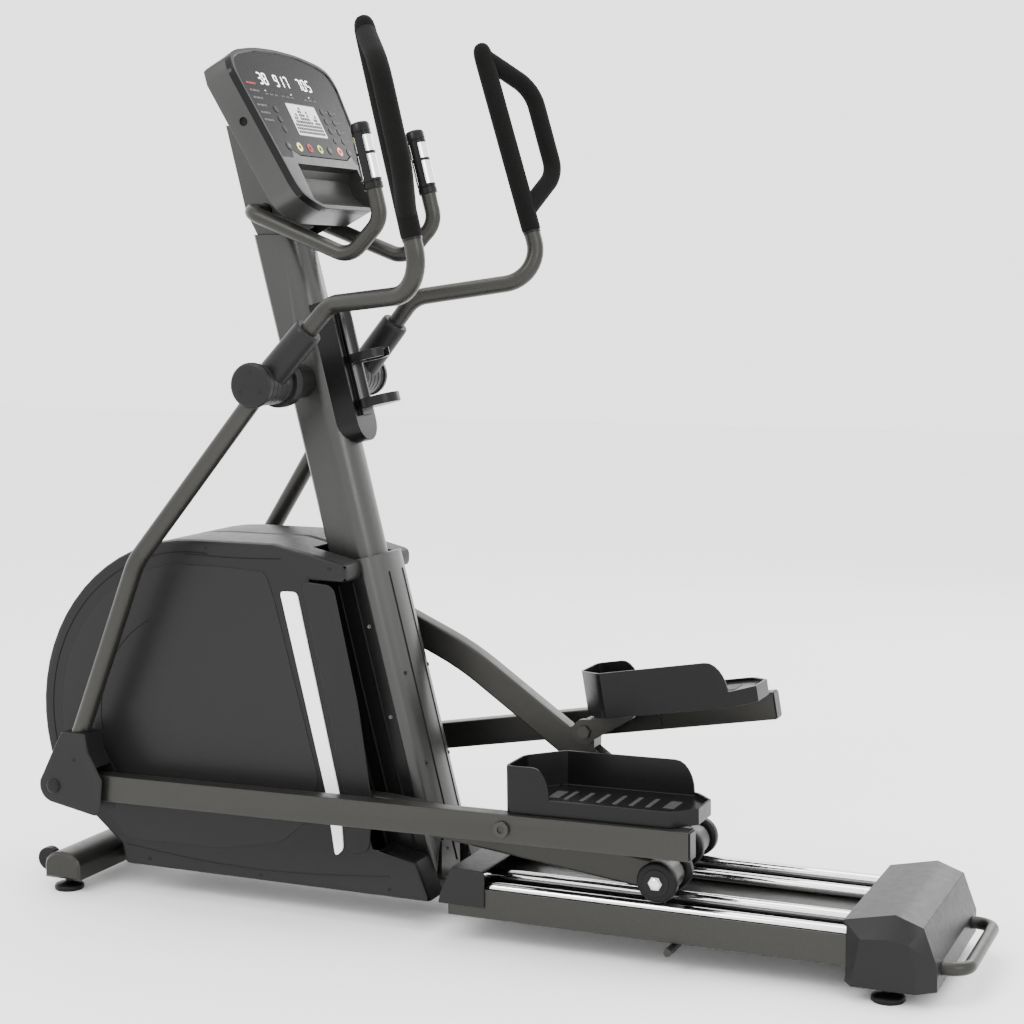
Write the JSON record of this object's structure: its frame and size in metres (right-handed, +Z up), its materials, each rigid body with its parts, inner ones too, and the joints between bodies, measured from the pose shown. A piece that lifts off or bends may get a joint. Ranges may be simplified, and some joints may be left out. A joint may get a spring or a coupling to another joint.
{
  "type": "elliptical trainer",
  "caption": "Front-drive elliptical trainer: cranked roller links on floor rails, swinging arms with looped foam grips, raised console and a bottle holder.",
  "frame": {"origin": "on the floor under the middle of the bounding box", "axes": "+Z up, +X to the rear where the rider mounts, -Y on the rider's left"},
  "size_m": [2.0097, 0.8552, 1.8136],
  "materials": {
    "dark_coat": "satin metallic dark grey powder coat",
    "silver_coat": "satin metallic mid grey",
    "silver_cover": "satin metallic mid grey paint on plastic",
    "cover_plastic": "satin charcoal",
    "black_plastic": "satin black",
    "foam": "matte black closed-cell foam",
    "rubber": "black, dull",
    "chrome": "polished",
    "steel": "zinc plated",
    "cast_iron": "bare, dark",
    "overlay": "glossy black"
  },
  "bodies": {
    "base": {"main_frame": "dark_coat", "front_stabilizer": "dark_coat", "foot_front_left": "rubber", "foot_front_right": "rubber", "foot_rear_left": "rubber", "foot_rear_right": "rubber", "side_cover_left": "cover_plastic", "side_cover_right": "cover_plastic", "column_cover": "silver_cover", "rail_base": "dark_coat", "guide_rail_left": "chrome", "guide_rail_right": "chrome", "rail_bracket": "cover_plastic", "rear_cover": "cover_plastic", "carry_handle": "dark_coat", "mast": "silver_coat", "console_bracket": "silver_coat", "console_housing": "silver_cover", "console_face": "overlay", "pulse_handlebar": "dark_coat", "pulse_grip_left": "black_plastic", "pulse_grip_right": "black_plastic", "bottle_holder": "black_plastic", "swing_axle": "steel", "axle_housing": "cover_plastic", "drive_belt": "rubber"},
    "crank": {"crankshaft": "steel", "crank_arm_left": "cast_iron", "crank_arm_right": "cast_iron", "drive_pulley": "cast_iron"},
    "flywheel": {"flywheel": "cast_iron"},
    "idler": {"idler_pulley": "black_plastic"},
    "carriage_left": {"roller_axle_left": "steel"},
    "rollers_left": {"roller_inner_left": "rubber", "roller_outer_left": "rubber"},
    "link_left": {"roller_link_left": "dark_coat"},
    "pedal_arm_left": {"pedal_arm_left": "dark_coat", "pedal_left": "black_plastic", "pivot_bolt_left": "steel"},
    "swing_arm_left": {"swing_hub_left": "cover_plastic", "hub_cap_left": "cover_plastic", "lower_arm_left": "dark_coat", "joint_casing_left": "cover_plastic", "handle_tube_left": "dark_coat", "grip_left": "foam"},
    "transport_wheel_left": {"transport_wheel_left": "rubber"},
    "carriage_right": {"roller_axle_right": "steel"},
    "rollers_right": {"roller_inner_right": "rubber", "roller_outer_right": "rubber"},
    "link_right": {"roller_link_right": "dark_coat"},
    "pedal_arm_right": {"pedal_arm_right": "dark_coat", "pedal_right": "black_plastic", "pivot_bolt_right": "steel"},
    "swing_arm_right": {"swing_hub_right": "cover_plastic", "hub_cap_right": "cover_plastic", "lower_arm_right": "dark_coat", "joint_casing_right": "cover_plastic", "handle_tube_right": "dark_coat", "grip_right": "foam"},
    "transport_wheel_right": {"transport_wheel_right": "rubber"}
  },
  "joints": [
    {"name": "crank_turn", "type": "hinge", "parent": "base", "child": "crank", "pos_m": [-0.528, 0, 0.4455], "axis": [0, 1, 0], "range_deg": [-35, 35]},
    {"name": "flywheel_turn", "type": "hinge", "parent": "base", "child": "flywheel", "pos_m": [-0.83, 0, 0.33], "axis": [0, 1, 0], "range_deg": [-188, 188]},
    {"name": "idler_turn", "type": "hinge", "parent": "base", "child": "idler", "pos_m": [-0.68493, 0, 0.26549], "axis": [0, 1, 0], "range_deg": [-256, 256]},
    {"name": "carriage_slide_left", "type": "slide", "parent": "base", "child": "carriage_left", "axis": [1, 0, 0], "range_m": [-0.139, 0.139]},
    {"name": "roller_turn_left", "type": "hinge", "parent": "carriage_left", "child": "rollers_left", "pos_m": [0.41058, 0, 0.168], "axis": [0, 1, 0], "range_deg": [-200, 200]},
    {"name": "link_hinge_left", "type": "hinge", "parent": "carriage_left", "child": "link_left", "pos_m": [0.41058, -0.125, 0.168], "axis": [0, 1, 0], "range_deg": [-2.1, 2.1]},
    {"name": "pedal_hinge_left", "type": "hinge", "parent": "link_left", "child": "pedal_arm_left", "pos_m": [0.11373, -0.125, 0.25406], "axis": [0, 1, 0], "range_deg": [-2.2, 2.2]},
    {"name": "swing_hinge_left", "type": "hinge", "parent": "base", "child": "swing_arm_left", "pos_m": [-0.413, -0.2, 1.1], "axis": [0, 1, 0], "range_deg": [-9.3, 9.3]},
    {"name": "transport_wheel_turn_left", "type": "hinge", "parent": "base", "child": "transport_wheel_left", "pos_m": [-0.978, -0.178, 0.062], "axis": [0, 1, 0], "continuous": true},
    {"name": "carriage_slide_right", "type": "slide", "parent": "base", "child": "carriage_right", "axis": [1, 0, 0], "range_m": [-0.154, 0.154]},
    {"name": "roller_turn_right", "type": "hinge", "parent": "carriage_right", "child": "rollers_right", "pos_m": [0.38199, 0, 0.168], "axis": [0, 1, 0], "range_deg": [-222, 222]},
    {"name": "link_hinge_right", "type": "hinge", "parent": "carriage_right", "child": "link_right", "pos_m": [0.38199, 0.125, 0.168], "axis": [0, 1, 0], "range_deg": [-2.4, 2.4]},
    {"name": "pedal_hinge_right", "type": "hinge", "parent": "link_right", "child": "pedal_arm_right", "pos_m": [0.16033, 0.125, 0.38339], "axis": [0, 1, 0], "range_deg": [-2, 2]},
    {"name": "swing_hinge_right", "type": "hinge", "parent": "base", "child": "swing_arm_right", "pos_m": [-0.413, 0.2, 1.1], "axis": [0, 1, 0], "range_deg": [-10.3, 10.3]},
    {"name": "transport_wheel_turn_right", "type": "hinge", "parent": "base", "child": "transport_wheel_right", "pos_m": [-0.978, 0.178, 0.062], "axis": [0, 1, 0], "continuous": true}
  ],
  "couplings": [
    {"joint": "flywheel_turn", "follows": "crank_turn", "ratio": 5.3333},
    {"joint": "idler_turn", "follows": "crank_turn", "ratio": -7.2727},
    {"joint": "carriage_slide_left", "follows": "crank_turn", "m_per_rad": -0.2252},
    {"joint": "roller_turn_left", "follows": "crank_turn", "ratio": -5.63},
    {"joint": "link_hinge_left", "follows": "crank_turn", "ratio": 0.0532},
    {"joint": "pedal_hinge_left", "follows": "crank_turn", "ratio": 0.0568},
    {"joint": "swing_hinge_left", "follows": "crank_turn", "ratio": 0.2573},
    {"joint": "carriage_slide_right", "follows": "crank_turn", "m_per_rad": 0.2504},
    {"joint": "roller_turn_right", "follows": "crank_turn", "ratio": 6.26},
    {"joint": "link_hinge_right", "follows": "crank_turn", "ratio": -0.0606},
    {"joint": "pedal_hinge_right", "follows": "crank_turn", "ratio": -0.0499},
    {"joint": "swing_hinge_right", "follows": "crank_turn", "ratio": -0.286}
  ]
}
